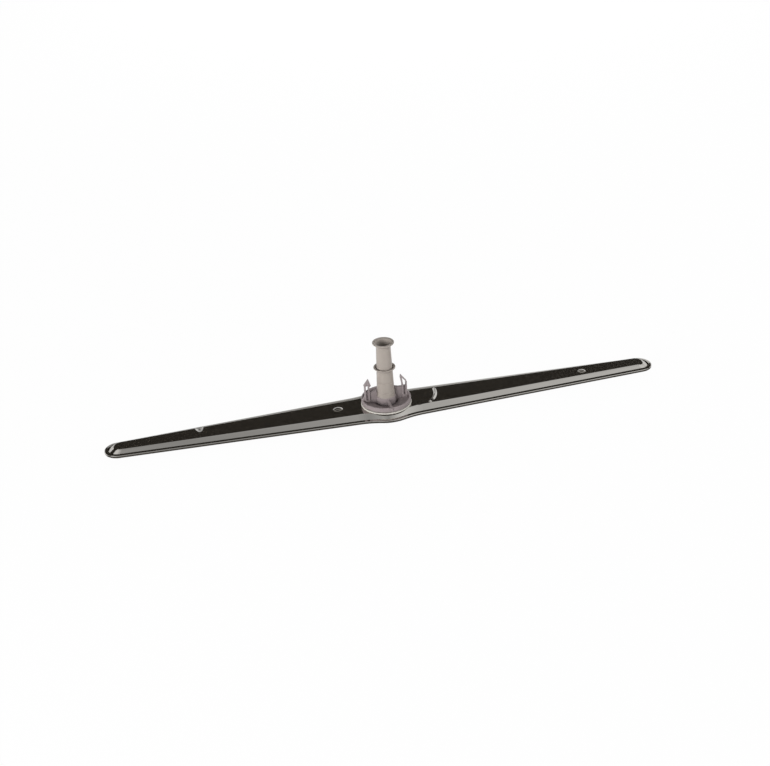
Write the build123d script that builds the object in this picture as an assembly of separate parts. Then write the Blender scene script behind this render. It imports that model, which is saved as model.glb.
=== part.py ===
from build123d import *
from math import acos, atan2, cos, degrees, hypot, radians, sin, sqrt
import os

# A dishwasher spray arm: a hollow stainless arm that spins on a moulded feed hub.
# X runs along the arm, Z up the feed tube, which is also the spin axis.
# The origin is on that axis, at the arm's flat underside. Sizes are in millimetres.

# Plan of the arm
arm_length = 460.0         # tip to tip, over the hem
tip_radius = 11.2          # round end of the hem
root_half_width = 22.6     # where the straight edges would cross the spin axis
swell_radius = 26.2        # round swelling of the hem at the hub
blend_radius = 60.0        # hollow curve between a swelling and a straight edge
panel_half_width = 13.7    # flat top panel, in the same way
panel_tip_radius = 6.4
panel_end = 7.8            # from the end of the hem to the end of the panel
panel_swell = 18.4

# Section of the arm
sheet = 0.7                # steel sheet
hem_width = 2.8            # edge of the lower pan, folded over the top plate
hem_lift = 0.25            # inner edge of the fold, which stands up a little
hem_crown = 0.35           # how far the hem's top falls from there to its outer edge
hem_gap = 0.3              # from the folded edge to the foot of the sloping side
bend_radius = 0.9          # inside radius of the pressed edges
panel_rise = 2.6           # top panel above the hem
pan_run = 4.3              # how far the lower pan's side slopes in
pan_depth = 4.15           # hem above the underside

# Spray nozzles, low hoods pressed out of the top panel with an open mouth
inner_jet_from_axis = 40.3
inner_jet_offset = 0.9     # towards +Y
inner_jet_radius = 4.0
inner_jet_height = 1.3
inner_jet_turn = 180.0     # degrees, which way the mouth faces from +Y
outer_jet_along = 0.73     # share of the way from the axis to the tip
outer_jet_offset = -1.4
outer_jet_radius = 3.3
outer_jet_height = 1.1
outer_jet_turn = 155.0
jet_mouth = 0.3            # share of the radius, from a hood's middle to its mouth
mouth_lip = 0.5            # hole in front of a mouth

# Driving nozzle, a scoop pressed down into the panel's back edge with a hole in its floor
scoop_along = 0.6657       # share of the way from the axis to the tip
scoop_edge = 8.9           # panel's back edge there, from the arm's middle
scoop_length = 8.0
scoop_width = 7.6          # at the panel's edge
scoop_depth = 1.7          # there
scoop_hole_radius = 1.0
scoop_hole_from_edge = 2.2

# Curved rib and drain slots
bead_from_axis = 40.7      # rib pressed across the panel, at its middle
bead_offset = -1.7
bead_curve = 27.0
bead_width = 3.0
bead_height = 1.5
bead_flat = 0.4            # along its top, between sloping sides
bead_span = 46.0           # degrees of its curve
bead_turn = -23.0          # degrees, which way its middle bulges from +X
drain_from_tip = 42.0      # slot in the underside
drain_length = 9.0
drain_width = 2.4

# Bearing
journal_radius = 11.2
running_clearance = 0.06
axial_play = 0.3
bearing_wall = 3.1
flange_proud = 0.3         # bearing's flange outside the hub's bowl
bearing_flange = 1.0
bearing_depth = 3.0        # sleeve below the top plate
bearing_round = 0.5
seat_clearance = 0.05      # between pieces that are pushed together
snap_reach = 0.5
snap_height = 1.2
washer_thickness = 0.5
collar_height = 1.9
collar_width = 2.6         # beyond the journal
stub_step = 1.2            # journal's lower end, turned down for the collar
stub_proud = 0.2
collar_chamfer = 0.5

# Latch hub
bowl_radius = 20.3
bowl_height = 4.0
bowl_wall = 1.5
bowl_floor = 1.4
bowl_round = 1.0
rim_round = 0.4
trough_width = 2.0         # round the boss
trough_drop = 1.6          # below the bowl's underside
trough_slope = 3.4         # sloping edge of the trough
trough_slope_drop = 1.0
boss_radius = 7.8
boss_height = 4.4          # above the floor of the bowl
boss_chamfer = 0.3
chamber_roof = 1.2
chamber_wall = 1.5
passage_radius = 5.0       # from the chamber up into the socket
web_thickness = 2.0        # from the boss to a hook
web_inner_rise = 6.2       # above the boss, beside the tube
left_web_rise = 4.2        # above the boss, at the hook
right_web_rise = 5.8
tube_gap = 0.4             # from the web to the tube
gusset_thickness = 1.4     # from the boss to the rim of the bowl
gusset_drop = 0.6          # below the boss at its inner end
gusset_corner = 13.0       # from the spin axis
gusset_corner_drop = 1.4
gusset_proud = 0.6         # outside the bowl
gusset_rise = 0.3          # above the rim

# Snap hooks, with heights above the top panel
hook_inner = 13.6          # from the spin axis
hook_outer = 17.6
hook_width = 3.4
hook_leg = 0.9
hook_web = 1.2
hook_web_height = 13.4
hook_round = 0.3
left_head_height = 18.1
left_tip_height = 23.4
left_tip_reach = 0.4       # tip outwards of the inner leg's face
left_barb = 1.3
left_outer_barb = 0.5
left_barb_height = 0.9
left_window_rise = 0.5     # window above the barb, at the inner leg
right_shoulder_height = 17.3
right_tip_height = 23.5    # the right hook's head leans in over the gap
right_tip_lean = 0.6       # tip inwards of the inner leg's face
right_barb = 1.1
right_barb_height = 20.9
right_foot_height = 14.6
right_strip = 0.7          # head beside its window
right_window_height = 21.2
flare_height = 8.6         # outer foot of the hook, above the top panel

# Feed tube
bore_radius = 4.8
tube_foot_radius = 7.3
tube_neck_radius = 5.9     # under the mouth
spigot_wall = 1.3
spigot_length = 7.2
socket_gap = 0.3           # left below the spigot's end
tube_length = 48.2         # above the boss
groove_from_boss = 13.4
seam_from_boss = 4.2       # second groove, where the two halves of the mould meet
groove_depth = 0.3
lip_from_boss = 25.9       # top of the upturned lip
lip_radius = 8.9
lip_wall = 0.8
lip_depth = 2.6
lip_flare = 4.2
lip_edge = 0.7             # upright part of the lip's rim
mouth_radius = 8.8
mouth_edge = 0.9
mouth_flat = 0.7
mouth_dish = 0.3           # drop from the rim to the throat
throat_radius = 6.6
mouth_funnel = 5.0         # from the rim down to the bore
mouth_flare = 4.2
moulded_round = 0.3        # edges of the lip and the mouth

# Levels that follow from these sizes
seam = pan_depth + sheet
hem_top = seam + 2 * sheet + hem_lift
hem_edge = hem_top - hem_crown
panel_top = hem_top + panel_rise
panel_underside = panel_top - sheet
bearing_bottom = panel_underside - bearing_depth
bearing_top = panel_top + bearing_flange
washer_bottom = bearing_bottom - axial_play - washer_thickness
collar_bottom = washer_bottom - collar_height
bowl_bottom = bearing_top + axial_play
bowl_top = bowl_bottom + bowl_height
bowl_inside = bowl_bottom + bowl_floor
trough = bowl_bottom - trough_drop
chamber_top = trough - chamber_roof
boss_top = bowl_inside + boss_height
spigot_bottom = boss_top - spigot_length
lip_top = boss_top + lip_from_boss
mouth_top = boss_top + tube_length
mouth_bottom = mouth_top - mouth_edge
neck = mouth_bottom - mouth_flare

# Radii that follow from these sizes
bearing_bore = journal_radius + running_clearance
sleeve_radius = bearing_bore + bearing_wall
plate_hole = sleeve_radius + seat_clearance
bearing_flange_radius = bowl_radius + flange_proud
stub_radius = journal_radius - stub_step
chamber_radius = stub_radius - chamber_wall
collar_radius = journal_radius + collar_width
trough_radius = boss_radius + trough_width
spigot_radius = bore_radius + spigot_wall
socket_radius = spigot_radius + seat_clearance
side_foot = hem_width + hem_gap
fold_radius = sheet        # a little under half the height of the hem's edge
bead_slope = (bead_width - bead_flat) / 2

UP = (0, 0, 1)
DOWN = (0, 0, -1)


def disc(radius, bottom, top):
    return Pos(0, 0, bottom) * extrude(Circle(radius), top - bottom)


def ring(outer, inner, bottom, top):
    return disc(outer, bottom, top) - disc(inner, bottom, top)


def turned(*lines):
    """Solid turned about the spin axis from lines drawn in radius and height."""
    return revolve(Plane.XZ * make_face(lines), Axis.Z)


def outline(half_width, tip, reach, swell, inset):
    """Long outline with round tips and a round swelling, drawn in by inset all round."""
    tip_x = reach - tip
    taper = acos(tip / hypot(half_width, tip_x)) - atan2(tip_x, half_width)
    outwards = Vector(sin(taper), cos(taper))
    along = Vector(cos(taper), -sin(taper))
    edge = half_width * cos(taper) - inset
    tip_end = tip - inset
    round_middle = swell - inset
    blend = blend_radius + inset
    blend_from = sqrt((round_middle + blend) ** 2 - (edge + blend) ** 2)
    blend_start = (outwards * (edge + blend) + along * blend_from).normalized() * round_middle
    blend_end = outwards * edge + along * blend_from
    tip_start = Vector(tip_x, 0) + outwards * tip_end
    quarter = Curve() + [
        RadiusArc((0, round_middle), blend_start, round_middle),
        RadiusArc(blend_start, blend_end, -blend),
        Line(blend_end, tip_start),
        RadiusArc(tip_start, (tip_x + tip_end, 0), tip_end),
    ]
    half = quarter + mirror(quarter, about=Plane.XZ)
    whole = half + mirror(half, about=Plane.YZ)
    return make_face(whole.edges())


def arm_plan(inset):
    return outline(root_half_width, tip_radius, arm_length / 2, swell_radius, inset)


def panel_plan():
    return outline(panel_half_width, panel_tip_radius, arm_length / 2 - panel_end, panel_swell, 0)


def layer(inset, bottom, top):
    return Pos(0, 0, bottom) * extrude(arm_plan(inset), top - bottom, dir=UP)


def raised_panel():
    """Block under the flat panel and its sloping sides, standing on the flange."""
    foot = arm_plan(side_foot)
    flat = Pos(0, 0, panel_top - seam - sheet) * panel_plan()
    block = loft([foot, flat], ruled=True)
    return fillet(block.faces().sort_by(Axis.Z)[-1].edges(), bend_radius + sheet)


def pan_block(inset, edge_radius):
    """Block that narrows downwards to a rounded edge, as the pan's press tool does."""
    block = extrude(arm_plan(inset), pan_depth, dir=DOWN, taper=degrees(atan2(pan_run, pan_depth)))
    return fillet(block.faces().sort_by(Axis.Z)[0].edges(), edge_radius)


def hood_pair(radius, height, mouth):
    """Outside and hollow of a hood pressed out of the top panel, on the spin axis, open to +Y."""
    sphere = (radius**2 + height**2) / (2 * height)
    centre = Pos(0, 0, panel_top + height - sphere)
    box_size = 4 * radius
    box_height = 2 * (height + sheet)
    behind_mouth = Box(box_size, box_size, box_height, align=(Align.CENTER, Align.MAX, Align.MIN))
    mouth_y = mouth * radius
    outside = centre * Sphere(sphere) & Pos(0, mouth_y, panel_underside) * behind_mouth
    behind_lip = Pos(0, mouth_y + mouth_lip, panel_underside - sheet) * behind_mouth
    hollow = centre * Sphere(sphere - sheet) & behind_lip
    return outside, hollow


def scoop(depth_below):
    """Round bar that presses the scoop, grown by the given depth all round."""
    radius = (scoop_width**2 / 4 + scoop_depth**2) / (2 * scoop_depth)
    fall = degrees(atan2(scoop_depth, scoop_length))
    bar = Pos(0, -radius, 0) * Cylinder(radius + depth_below, 4 * scoop_length)
    tip = Pos(-scoop_along * arm_length / 2, scoop_edge - scoop_length, panel_top)
    return tip * Rot(-90 - fall, 0, 0) * bar


def bead_block(width, top):
    """Curved rib of the given width, up from the underside of the top plate."""
    centre_x = bead_from_axis - bead_curve * cos(radians(bead_turn))
    centre_y = bead_offset - bead_curve * sin(radians(bead_turn))
    arc = CenterArc((centre_x, centre_y), bead_curve, bead_turn - bead_span / 2, bead_span)
    return Pos(0, 0, panel_underside) * extrude(SlotArc(arc, width), top - panel_underside)


def bead_pair():
    """Outside and inside of the curved rib pressed out of the top panel."""
    outside = bead_block(bead_width, panel_top + bead_height)
    outside = chamfer(outside.faces().sort_by(Axis.Z)[-1].edges(), bead_slope)
    inside = bead_block(bead_width - 3 * sheet, panel_top + bead_height - 2 * sheet)
    return outside, inside


def make_arm_top_plate():
    """Pressed top sheet with its jets, and the hole that carries the bearing."""
    flange = layer(sheet + seat_clearance, seam, seam + sheet)
    panel = raised_panel()
    outside = Pos(0, 0, seam + sheet) * panel - scoop(0)
    hollow = Pos(0, 0, seam) * panel - scoop(sheet)
    plate = flange + outside - hollow
    scoop_hole = disc(scoop_hole_radius, seam + sheet, panel_top)
    plate -= Pos(-scoop_along * arm_length / 2, scoop_edge - scoop_hole_from_edge, 0) * scoop_hole

    inner_place = Pos(-inner_jet_from_axis, inner_jet_offset, 0) * Rot(0, 0, inner_jet_turn)
    outer_place = Pos(outer_jet_along * arm_length / 2, outer_jet_offset, 0) * Rot(0, 0, outer_jet_turn)
    for place, hood, hood_hollow in (
        (inner_place, *hood_pair(inner_jet_radius, inner_jet_height, jet_mouth)),
        (outer_place, *hood_pair(outer_jet_radius, outer_jet_height, jet_mouth)),
    ):
        plate = plate + place * hood - place * hood_hollow

    rib, rib_hollow = bead_pair()
    plate = plate + rib - rib_hollow
    return plate - disc(plate_hole, seam, panel_top)


def make_arm_lower_pan():
    """Pressed trough whose flange is folded over the edge of the top plate."""
    crown = loft([Pos(0, 0, hem_edge) * arm_plan(0), Pos(0, 0, hem_top) * arm_plan(hem_width)], ruled=True)
    hem = layer(0, pan_depth, hem_edge) + crown
    lower_edge = hem.edges().filter_by_position(Axis.Z, pan_depth, pan_depth)
    upper_edge = hem.edges().filter_by_position(Axis.Z, hem_edge, hem_edge)
    hem = fillet(lower_edge + upper_edge, fold_radius)
    hem = hem - layer(sheet, seam, seam + sheet) - layer(hem_width, seam, hem_top)
    slope = atan2(pan_run, pan_depth)
    wall_inset = sheet * (1 - sin(slope)) / cos(slope)
    outside = pan_block(side_foot, bend_radius + sheet)
    inside = pan_block(side_foot + wall_inset, bend_radius)
    pan = hem + Pos(0, 0, pan_depth) * outside - Pos(0, 0, seam) * inside

    drain = Pos(0, 0, sheet / 2) * extrude(SlotOverall(drain_length, drain_width), sheet, both=True)
    drain_x = arm_length / 2 - drain_from_tip
    for x in (-drain_x, drain_x):
        pan -= Pos(x, 0, 0) * drain
    return pan


def make_bearing_ring():
    """Flanged bush that snaps into the top plate and turns on the journal."""
    flange = disc(bearing_flange_radius, panel_top, bearing_top)
    flange = fillet(flange.edges().sort_by(Axis.Z)[-1], bearing_round)
    sleeve = disc(sleeve_radius, bearing_bottom, panel_top)
    snap = disc(sleeve_radius + snap_reach, panel_underside - snap_height, panel_underside)
    snap = chamfer(snap.edges().sort_by(Axis.Z)[0], snap_reach)
    return flange + sleeve + snap - disc(bearing_bore, bearing_bottom, bearing_top)


def make_thrust_washer():
    """Flat ring that lies on the collar, under the bearing's sleeve."""
    bore = stub_radius + seat_clearance
    return ring(collar_radius, bore, washer_bottom, washer_bottom + washer_thickness)


def make_retaining_collar():
    """Ring on the end of the journal, which keeps the arm on the hub."""
    body = disc(collar_radius, collar_bottom, washer_bottom)
    body = chamfer(body.edges().sort_by(Axis.Z)[0], collar_chamfer)
    return body - disc(stub_radius + seat_clearance, collar_bottom, washer_bottom)


def make_hub_body():
    """Journal, bowl and boss, turned about the spin axis."""
    journal_bottom = collar_bottom - stub_proud
    washer_top = washer_bottom + washer_thickness
    bowl_start = (bowl_radius - bowl_round, bowl_bottom)
    wall_start = (bowl_radius, bowl_bottom + bowl_round)
    body = turned(
        Polyline(
            (chamber_radius, journal_bottom),
            (stub_radius, journal_bottom),
            (stub_radius, washer_top),
            (journal_radius, washer_top),
            (journal_radius, bowl_bottom),
            bowl_start,
        ),
        RadiusArc(bowl_start, wall_start, -bowl_round),
        Polyline(
            wall_start,
            (bowl_radius, bowl_top),
            (bowl_radius - bowl_wall, bowl_top),
            (bowl_radius - bowl_wall, bowl_inside),
            (trough_radius + trough_slope, bowl_inside),
            (trough_radius, bowl_inside - trough_slope_drop),
            (trough_radius, trough),
            (boss_radius, trough),
            (boss_radius, boss_top - boss_chamfer),
            (boss_radius - boss_chamfer, boss_top),
            (socket_radius, boss_top),
            (socket_radius, spigot_bottom - socket_gap),
            (passage_radius, spigot_bottom - socket_gap),
            (passage_radius, chamber_top),
            (chamber_radius, chamber_top),
            (chamber_radius, journal_bottom),
        ),
    )
    rim = body.edges().filter_by_position(Axis.Z, bowl_top, bowl_top)
    return fillet(rim, rim_round)


def upright(thickness, *corners):
    """Flat rib in the XZ plane, given by corners in distance from the spin axis and height."""
    return extrude(Plane.XZ * make_face(Polyline(*corners, close=True)), thickness / 2, both=True)


def make_hook(head, window_top):
    """Snap hook at +X: two legs with a web between, an open window and the given head."""
    base = bowl_bottom + bowl_floor / 2
    web_top = panel_top + hook_web_height
    outer_foot = panel_top + flare_height
    profile = make_face(Polyline((hook_inner, base), (hook_outer, base), *head, close=True))
    profile = fillet(profile.vertices(), hook_round)
    body = extrude(Plane.XZ * profile, hook_width / 2, both=True)

    window_in = hook_inner + hook_leg
    window_out = hook_outer - hook_leg
    hollow = upright(hook_width, (window_in, bowl_top), (window_out, bowl_top), *window_top)
    web = upright(
        hook_web,
        (window_in - hook_leg / 2, bowl_top),
        (window_out + hook_leg / 2, bowl_top),
        (window_out + hook_leg / 2, web_top),
        (window_in - hook_leg / 2, web_top),
    )
    flare = upright(
        web_thickness,
        (window_out + hook_leg / 2, base),
        (window_out + hook_leg / 2, outer_foot),
        (hook_outer, outer_foot),
        (bowl_radius, bowl_top - rim_round),
        (bowl_radius, base),
    )
    return body - hollow + web + flare


def make_left_hook():
    """Hook with a solid head like an arrow, drawn at +X."""
    head = panel_top + left_head_height
    return make_hook(
        head=[
            (hook_outer, head - left_barb_height),
            (hook_outer + left_outer_barb, head),
            (hook_inner + left_tip_reach, panel_top + left_tip_height),
            (hook_inner - left_barb, head),
            (hook_inner, head - left_barb_height),
        ],
        window_top=[
            (hook_outer - hook_leg, head),
            (hook_inner + hook_leg, head + left_window_rise),
        ],
    )


def make_right_hook():
    """Hook whose head leans inwards, with its window open up to the head's slope."""
    shoulder = panel_top + right_shoulder_height
    return make_hook(
        head=[
            (hook_outer, shoulder),
            (hook_inner - right_tip_lean, panel_top + right_tip_height),
            (hook_inner - right_barb, panel_top + right_barb_height),
            (hook_inner, panel_top + right_foot_height),
        ],
        window_top=[
            (hook_outer - right_strip, shoulder - right_strip / 2),
            (hook_inner, panel_top + right_window_height),
            (hook_inner + hook_leg, panel_top + right_foot_height),
        ],
    )


def rib_foot(outer, base):
    """Lower corners of a rib that starts inside the boss and crosses the trough."""
    inner = (socket_radius + boss_radius) / 2
    beyond_trough = (trough_radius + journal_radius) / 2
    floor_start = trough_radius + trough_slope
    buried = trough - chamber_roof / 2
    return [
        (inner, buried),
        (beyond_trough, buried),
        (beyond_trough, bowl_bottom),
        (floor_start, bowl_bottom),
        (floor_start, base),
        (outer, base),
    ]


def make_web(outer_rise):
    """Upright wall at +X that ties a hook to the boss, highest beside the tube."""
    foot = rib_foot(hook_inner + hook_leg / 2, bowl_bottom + bowl_floor / 2)
    inner = foot[0][0]
    outer = foot[-1][0]
    beside_tube = tube_foot_radius + tube_gap
    boss_edge = boss_top - boss_chamfer
    return upright(
        web_thickness,
        *foot,
        (outer, boss_top + outer_rise),
        (beside_tube, boss_top + web_inner_rise),
        (beside_tube, boss_edge),
        (inner, boss_edge),
    )


def make_gusset():
    """Upright rib at +X, from the boss down to the outside of the bowl."""
    foot = rib_foot(bowl_radius + gusset_proud, bowl_bottom + bowl_round)
    inner = foot[0][0]
    outer = foot[-1][0]
    return upright(
        gusset_thickness,
        *foot,
        (outer, bowl_top + gusset_rise),
        (gusset_corner, boss_top - gusset_corner_drop),
        (inner, boss_top - gusset_drop),
    )


def make_latch_hub():
    """One moulding: turned body, two snap hooks on their webs and two gussets."""
    right = make_right_hook() + make_web(right_web_rise)
    left = make_left_hook() + make_web(left_web_rise)
    front = Rot(0, 0, 90) * make_gusset()
    return make_hub_body() + right + mirror(left, about=Plane.YZ) + front + mirror(front, about=Plane.XZ)


def tube_radius(level):
    """Outside of the tube, which narrows evenly from its foot to its neck."""
    share = (level - boss_top) / (neck - boss_top)
    return tube_foot_radius + (tube_neck_radius - tube_foot_radius) * share


def tube_groove(level):
    """Corners of a small V-shaped groove round the tube."""
    return [
        (tube_radius(level - groove_depth), level - groove_depth),
        (tube_radius(level) - groove_depth, level),
        (tube_radius(level + groove_depth), level + groove_depth),
    ]


def make_feed_tube():
    """Moulded tube with a spigot below, an upturned lip half way and a flared mouth."""
    lip_foot = lip_top - lip_flare
    gutter = lip_top - lip_depth
    tube = turned(
        Polyline(
            (bore_radius, mouth_top - mouth_funnel),
            (bore_radius, spigot_bottom),
            (spigot_radius, spigot_bottom),
            (spigot_radius, boss_top),
            (tube_foot_radius, boss_top),
            *tube_groove(boss_top + seam_from_boss),
            *tube_groove(boss_top + groove_from_boss),
            (tube_radius(lip_foot), lip_foot),
        ),
        TangentArc((tube_radius(lip_foot), lip_foot), (lip_radius, lip_top - lip_edge), tangent=(0, 1)),
        Polyline(
            (lip_radius, lip_top - lip_edge),
            (lip_radius, lip_top),
            (lip_radius - lip_wall, lip_top),
        ),
        TangentArc((tube_radius(gutter), gutter), (lip_radius - lip_wall, lip_top), tangent=(0, 1)),
        Line((tube_radius(gutter), gutter), (tube_neck_radius, neck)),
        TangentArc((tube_neck_radius, neck), (mouth_radius, mouth_bottom), tangent=(0, 1)),
        Polyline(
            (mouth_radius, mouth_bottom),
            (mouth_radius, mouth_top),
            (mouth_radius - mouth_flat, mouth_top),
            (throat_radius, mouth_top - mouth_dish),
            (bore_radius, mouth_top - mouth_funnel),
        ),
    )
    lip_edges = tube.edges().filter_by_position(Axis.Z, lip_top, lip_top)
    mouth_edges = tube.edges().filter_by_position(Axis.Z, mouth_top, mouth_top)
    return fillet(lip_edges + mouth_edges, moulded_round)


pieces = {
    "arm_top_plate": make_arm_top_plate(),
    "arm_lower_pan": make_arm_lower_pan(),
    "bearing_ring": make_bearing_ring(),
    "latch_hub": make_latch_hub(),
    "feed_tube": make_feed_tube(),
    "thrust_washer": make_thrust_washer(),
    "retaining_collar": make_retaining_collar(),
}

os.makedirs("parts", exist_ok=True)
for name, shape in pieces.items():
    export_step(shape, f"parts/{name}.step")
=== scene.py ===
import math

import bmesh
import bpy
from mathutils import Matrix, Vector

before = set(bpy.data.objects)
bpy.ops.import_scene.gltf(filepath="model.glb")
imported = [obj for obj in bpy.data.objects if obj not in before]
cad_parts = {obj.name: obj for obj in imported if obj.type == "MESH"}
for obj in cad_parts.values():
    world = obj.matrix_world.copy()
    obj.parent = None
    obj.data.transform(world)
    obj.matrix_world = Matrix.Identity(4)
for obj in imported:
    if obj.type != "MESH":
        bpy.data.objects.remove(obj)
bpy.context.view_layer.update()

# Lower pan of the arm: a shallow trough pressed from bright stainless sheet.
# Its flange is folded over the edge of the top plate as a hem all round.
mm = 0.001


def linear(hex_colour):
    """Linear RGBA of an sRGB hex colour, by the curve in the sRGB standard."""
    channels = [int(hex_colour[i:i + 2], 16) / 255 for i in (0, 2, 4)]
    return [c / 12.92 if c <= 0.04045 else ((c + 0.055) / 1.055) ** 2.4 for c in channels] + [1.0]


def add_node(tree, kind, settings=None, **inputs):
    """Adds one node; an input given as a socket is linked, and any other is a plain value.

    An input goes by its name, or by its number after an underscore where several share a name.
    """
    node = tree.nodes.new(kind)
    for name, value in (settings or {}).items():
        setattr(node, name, value)
    for name, value in inputs.items():
        socket = node.inputs[int(name[1:])] if name[0] == "_" else node.inputs[name.replace("_", " ")]
        if isinstance(value, bpy.types.NodeSocket):
            tree.links.new(value, socket)
        else:
            socket.default_value = value
    return node


def new_material(name):
    """Empty material, its node tree and the tree's output node."""
    material = bpy.data.materials.new(name)
    material.use_nodes = True
    material.node_tree.nodes.clear()
    output = material.node_tree.nodes.new("ShaderNodeOutputMaterial")
    return material, material.node_tree, output


def dress(node_name, material):
    """Gives a CAD node its finish."""
    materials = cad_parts[node_name].data.materials
    materials.clear()
    materials.append(material)


# Bright-annealed stainless steel: close to a mirror, a little hazy along the rolling direction, with
# slow waves left by the press, which bend what it mirrors.
# The rolling lines are under 0.1 mm on the real sheet, and drawn 1 mm wide here so that they show.
steel_colour = "BEBBB6"
clear_roughness = 0.08
hazy_roughness = 0.13
rolling_line_width = 1.0 * mm
rolling_line_length = 90 * mm
rolling_line_depth = 0.0002 * mm
pressing_wave = 38 * mm
pressing_wave_height = 0.05 * mm

# Nearly all values of a noise pattern lie between these two.
noise_low = 0.3
noise_high = 0.7

bright_steel, tree, output = new_material("bright_annealed_stainless")
place = add_node(tree, "ShaderNodeTexCoord").outputs["Object"]
stretched = add_node(
    tree,
    "ShaderNodeMapping",
    Vector=place,
    Scale=(1 / rolling_line_length, 1 / rolling_line_width, 1 / rolling_line_width),
)
rolling_lines = add_node(
    tree, "ShaderNodeTexNoise", Vector=stretched.outputs["Vector"], Scale=1.0, Detail=3.0, Roughness=0.6
)
waves = add_node(tree, "ShaderNodeTexNoise", Vector=place, Scale=1 / pressing_wave, Detail=1.0)
haze = add_node(
    tree,
    "ShaderNodeMapRange",
    Value=rolling_lines.outputs["Fac"],
    From_Min=noise_low,
    From_Max=noise_high,
    To_Min=clear_roughness,
    To_Max=hazy_roughness,
)
wavy = add_node(
    tree, "ShaderNodeBump", Strength=1.0, Distance=pressing_wave_height, Height=waves.outputs["Fac"]
)
lined = add_node(
    tree,
    "ShaderNodeBump",
    Strength=1.0,
    Distance=rolling_line_depth,
    Height=rolling_lines.outputs["Fac"],
    Normal=wavy.outputs["Normal"],
)
steel_shader = add_node(
    tree,
    "ShaderNodeBsdfPrincipled",
    Base_Color=linear(steel_colour),
    Metallic=1.0,
    Roughness=haze.outputs["Result"],
    Normal=lined.outputs["Normal"],
)
tree.links.new(steel_shader.outputs["BSDF"], output.inputs["Surface"])
dress("arm_lower_pan", bright_steel)

# Top plate of the arm: the same sheet, pressed with a flat panel, sloping sides and spray nozzles.
# It lies in the pan's folded hem and carries the bearing in its round hole.
dress("arm_top_plate", bright_steel)

# Bearing ring: a pale grey bush moulded in acetal, snapped into the top plate's hole.
# Only the edge of its flange shows, under the hub.

# All the plastics look satin, with a soft highlight, from the fine grain of a spark-eroded mould.
# That grain is about 0.1 mm on such pieces, and drawn some five times as coarse so that it shows.
plastic_ior = 1.49
gloss_spread = 0.08
cloud_size = 9 * mm


def moulded_plastic(name, colour, shade, roughness, grain, grain_depth):
    """Moulded plastic with the grain of its mould, and a colour that drifts towards its shade."""
    material, tree, output = new_material(name)
    place = add_node(tree, "ShaderNodeTexCoord").outputs["Object"]
    clouds = add_node(tree, "ShaderNodeTexNoise", Vector=place, Scale=1 / cloud_size, Detail=3.0)
    mixed = add_node(
        tree,
        "ShaderNodeMix",
        {"data_type": "RGBA"},
        _0=clouds.outputs["Fac"],
        _6=linear(shade),
        _7=linear(colour),
    )
    pits = add_node(tree, "ShaderNodeTexNoise", Vector=place, Scale=1 / grain, Detail=2.0)
    gloss = add_node(
        tree,
        "ShaderNodeMapRange",
        Value=pits.outputs["Fac"],
        To_Min=roughness - gloss_spread,
        To_Max=roughness + gloss_spread,
    )
    bump = add_node(
        tree, "ShaderNodeBump", Strength=1.0, Distance=grain_depth, Height=pits.outputs["Fac"]
    )
    shader = add_node(
        tree,
        "ShaderNodeBsdfPrincipled",
        Base_Color=mixed.outputs["Result"],
        Roughness=gloss.outputs["Result"],
        IOR=plastic_ior,
        Normal=bump.outputs["Normal"],
    )
    tree.links.new(shader.outputs["BSDF"], output.inputs["Surface"])
    return material


# Acetal is hard and polishes in use, so the bush is the smoothest of the plastics.
bearing_plastic = moulded_plastic(
    "pale_grey_acetal",
    colour="C3BFB8",
    shade="B7B3AC",
    roughness=0.35,
    grain=0.5 * mm,
    grain_depth=0.01 * mm,
)
dress("bearing_ring", bearing_plastic)

# Latch hub: one moulding in grey polypropylene, with the bowl, the boss, two snap hooks and ribs.
# Its journal turns in the bearing ring. The grey has a slight purple tint and the dullest finish.
hub_plastic = moulded_plastic(
    "grey_polypropylene",
    colour="8F8586",
    shade="837A7A",
    roughness=0.42,
    grain=0.6 * mm,
    grain_depth=0.015 * mm,
)
dress("latch_hub", hub_plastic)

# Thrust washer and retaining collar: plain rings on the journal's lower end, inside the arm.
# They are pushed on from below and keep the arm on the hub. Acetal without dye is a waxy off-white.
ring_plastic = moulded_plastic(
    "natural_acetal",
    colour="D6D2C8",
    shade="C9C5BB",
    roughness=0.4,
    grain=0.5 * mm,
    grain_depth=0.01 * mm,
)
dress("thrust_washer", ring_plastic)
dress("retaining_collar", ring_plastic)

# Feed tube: a polypropylene moulding, pushed into the hub's boss, with an upturned lip half way up
# and a flared mouth. The grey is warmer than the hub's and its finish a little smoother.
tube_plastic = moulded_plastic(
    "warm_grey_polypropylene",
    colour="9B938C",
    shade="928A83",
    roughness=0.38,
    grain=0.6 * mm,
    grain_depth=0.012 * mm,
)
dress("feed_tube", tube_plastic)

# Floor: a seamless sheet of white paper under the object. The camera sees it almost plain white, with a
# small share of its real shading for the soft shadow. In reflections more of that shading is left.
white = (1, 1, 1, 1)
paper_colour = (0.9, 0.9, 0.9, 1)
camera_share = 0.97
reflected_share = 0.4
floor_size = 8.0
floor_level = -0.2 * mm

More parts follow.
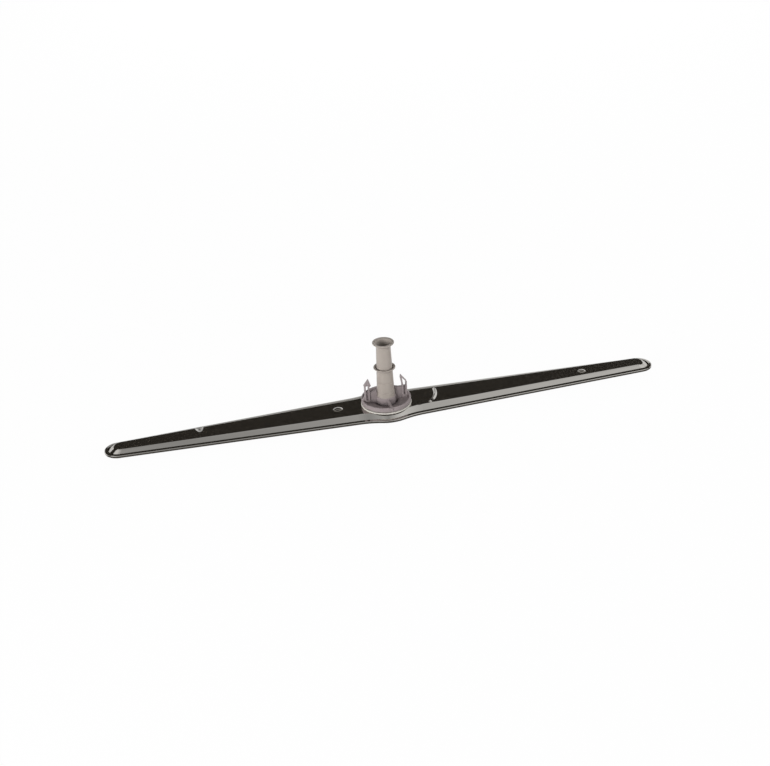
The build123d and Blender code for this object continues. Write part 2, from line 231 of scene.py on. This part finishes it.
bpy.ops.mesh.primitive_plane_add(size=floor_size, location=(0, 0, floor_level))
floor = bpy.context.object
floor.name = "studio_floor"
paper, tree, output = new_material("white_paper")
rays = add_node(tree, "ShaderNodeLightPath").outputs
reflected = add_node(
    tree,
    "ShaderNodeMath",
    {"operation": "ADD"},
    _0=rays["Is Glossy Ray"],
    _1=rays["Is Transmission Ray"],
)
reflected_part = add_node(
    tree, "ShaderNodeMath", {"operation": "MULTIPLY"}, _0=reflected.outputs[0], _1=reflected_share
)
plain_part = add_node(
    tree,
    "ShaderNodeMath",
    {"operation": "MULTIPLY_ADD"},
    _0=rays["Is Camera Ray"],
    _1=camera_share,
    _2=reflected_part.outputs[0],
)
shaded = add_node(tree, "ShaderNodeBsdfDiffuse", Color=paper_colour)
plain = add_node(tree, "ShaderNodeEmission", Color=white, Strength=1.0)
paper_mix = add_node(
    tree,
    "ShaderNodeMixShader",
    _0=plain_part.outputs[0],
    _1=shaded.outputs["BSDF"],
    _2=plain.outputs["Emission"],
)
tree.links.new(paper_mix.outputs["Shader"], output.inputs["Surface"])
floor.data.materials.append(paper)

# Dark curtains round the table, one behind the arm and one in front, and a grey mat before and under
# the arm.
# They are dull cloth, and show only in reflections, where they make the steel's dark panel and bands.
# The mat stands for a dark room before the arm. Under the arm it is painted shade, darker than the
# lamps leave the floor there.
# A curtain's edges are given in degrees above the floor, as seen from the arm.
curtain_radius = 0.9
back_low_angle = 21
back_high_angle = 52
front_high_angle = 14
back_start = 0
front_start = 180
mat_inner_radius = 1 * mm
mat_level = -0.1 * mm
curtain_steps = 48


def cloth(name, colour):
    """Plain dull cloth."""
    material, tree, output = new_material(name)
    shader = add_node(tree, "ShaderNodeBsdfDiffuse", Color=linear(colour))
    tree.links.new(shader.outputs["BSDF"], output.inputs["Surface"])
    return material


def add_cloth(name, material, start, near, far):
    """Half ring of cloth, spun from an edge given by radius and height, from an angle in degrees."""
    mesh = bmesh.new()
    turn = Matrix.Rotation(math.radians(start), 3, "Z")
    ends = [mesh.verts.new(turn @ Vector((radius, 0, height))) for radius, height in (near, far)]
    edge = mesh.edges.new(ends)
    bmesh.ops.spin(
        mesh,
        geom=ends + [edge],
        cent=(0, 0, 0),
        axis=(0, 0, 1),
        angle=math.pi,
        steps=curtain_steps,
    )
    piece = bpy.data.objects.new(name, bpy.data.meshes.new(name))
    mesh.to_mesh(piece.data)
    mesh.free()
    piece.data.materials.append(material)
    piece.visible_camera = False
    piece.visible_diffuse = False
    piece.visible_shadow = False
    bpy.context.scene.collection.objects.link(piece)
    return piece


def curtain_height(degrees):
    """Height at the curtain that is seen from the arm at this angle above the floor."""
    return curtain_radius * math.tan(math.radians(degrees))


dark_cloth = cloth("dark_cloth", "322F2B")
# The grey mat's cloth: under the arm it is painted shade, which the steel mirrors in place of the
# floor.
grey_cloth_and_painted_shade = cloth("grey_cloth_and_painted_shade", "6E6A65")
back_low = (curtain_radius, curtain_height(back_low_angle))
back_high = (curtain_radius, curtain_height(back_high_angle))
front_low = (curtain_radius, 0)
front_high = (curtain_radius, curtain_height(front_high_angle))
mat_near = (mat_inner_radius, mat_level)
mat_far = (curtain_radius, mat_level)
back_curtain = add_cloth("back_curtain", dark_cloth, back_start, back_low, back_high)
front_curtain = add_cloth("front_curtain", dark_cloth, front_start, front_low, front_high)
# Grey mat before and under the arm, seen only in reflections; under the arm it is painted shade.
front_mat_and_painted_shade = add_cloth("front_mat_and_painted_shade", grey_cloth_and_painted_shade, front_start, mat_near, mat_far)

# Light: a white room, brighter to both sides where the steel mirrors it, and three soft lamps.
# The key lamp stands low at the left of the camera, with weak ones at its right and behind the arm.
# side_reach is the sideways share of a direction at which the room reaches its side level.
room_level = 0.3
middle_level = 0.42
side_level = 1.0
side_reach = 0.57
camera_level = 1.0
lamp_aim = Vector((0, 0, 20 * mm))

world = bpy.data.worlds.new("white_room")
bpy.context.scene.world = world
world.use_nodes = True
tree = world.node_tree
tree.nodes.clear()
rays = add_node(tree, "ShaderNodeLightPath").outputs
reflected = add_node(
    tree,
    "ShaderNodeMath",
    {"operation": "MAXIMUM"},
    _0=rays["Is Glossy Ray"],
    _1=rays["Is Transmission Ray"],
)
heading = add_node(tree, "ShaderNodeTexCoord").outputs["Generated"]
sideways = add_node(tree, "ShaderNodeSeparateXYZ", Vector=heading)
from_middle = add_node(tree, "ShaderNodeMath", {"operation": "ABSOLUTE"}, _0=sideways.outputs["X"])
mirrored_level = add_node(
    tree,
    "ShaderNodeMapRange",
    Value=from_middle.outputs[0],
    From_Max=side_reach,
    To_Min=middle_level,
    To_Max=side_level,
)
lighting_level = add_node(
    tree,
    "ShaderNodeMapRange",
    Value=reflected.outputs[0],
    To_Min=room_level,
    To_Max=mirrored_level.outputs["Result"],
)
level = add_node(
    tree,
    "ShaderNodeMapRange",
    Value=rays["Is Camera Ray"],
    To_Min=lighting_level.outputs["Result"],
    To_Max=camera_level,
)
sky = add_node(tree, "ShaderNodeBackground", Color=white, Strength=level.outputs["Result"])
add_node(tree, "ShaderNodeOutputWorld", Surface=sky.outputs["Background"])


def add_lamp(name, place, width, power):
    """Square soft lamp that points at the hub and doesn't show in reflections."""
    lamp = bpy.data.objects.new(name, bpy.data.lights.new(name, "AREA"))
    lamp.data.size = width
    lamp.data.energy = power
    lamp.visible_glossy = False
    lamp.location = place
    lamp.rotation_euler = (lamp_aim - Vector(place)).to_track_quat("-Z", "Y").to_euler()
    bpy.context.scene.collection.objects.link(lamp)


add_lamp("key_lamp", place=(-1.22, -0.98, 0.34), width=0.6, power=27)
add_lamp("fill_lamp", place=(1.5, -0.5, 0.45), width=0.7, power=18)
add_lamp("back_lamp", place=(0.4, 1.5, 0.5), width=0.8, power=10)

# Camera: a long lens, above the front of the arm and a little to its left, rolled by a few degrees.
# Its angles, lens and aim were fitted to the outline of the arm and the tube.
image_width = 770
sensor_width = 36
focal_pixels = 1592.67
camera_turn = math.radians(12.36)
camera_height_angle = math.radians(28.56)
camera_roll = math.radians(-3.18)
camera_distance = 1.3
aim_height = 9.6 * mm
aim_right = -0.21 * mm
aim_up = 15.18 * mm

forward = Vector((
    math.sin(camera_turn) * math.cos(camera_height_angle),
    math.cos(camera_turn) * math.cos(camera_height_angle),
    -math.sin(camera_height_angle),
))
level_right = Vector((math.cos(camera_turn), -math.sin(camera_turn), 0))
level_up = level_right.cross(forward)
right = level_right * math.cos(camera_roll) + level_up * math.sin(camera_roll)
up = level_up * math.cos(camera_roll) - level_right * math.sin(camera_roll)
aim = Vector((0, 0, aim_height)) + level_right * aim_right + level_up * aim_up
camera = bpy.data.objects.new("camera", bpy.data.cameras.new("camera"))
camera.data.sensor_width = sensor_width
camera.data.lens = focal_pixels * sensor_width / image_width
turn = Matrix((right, up, -forward)).transposed().to_4x4()
camera.matrix_world = Matrix.Translation(aim - forward * camera_distance) @ turn
bpy.context.scene.collection.objects.link(camera)
bpy.context.scene.camera = camera
bpy.context.scene.view_settings.view_transform = "Standard"
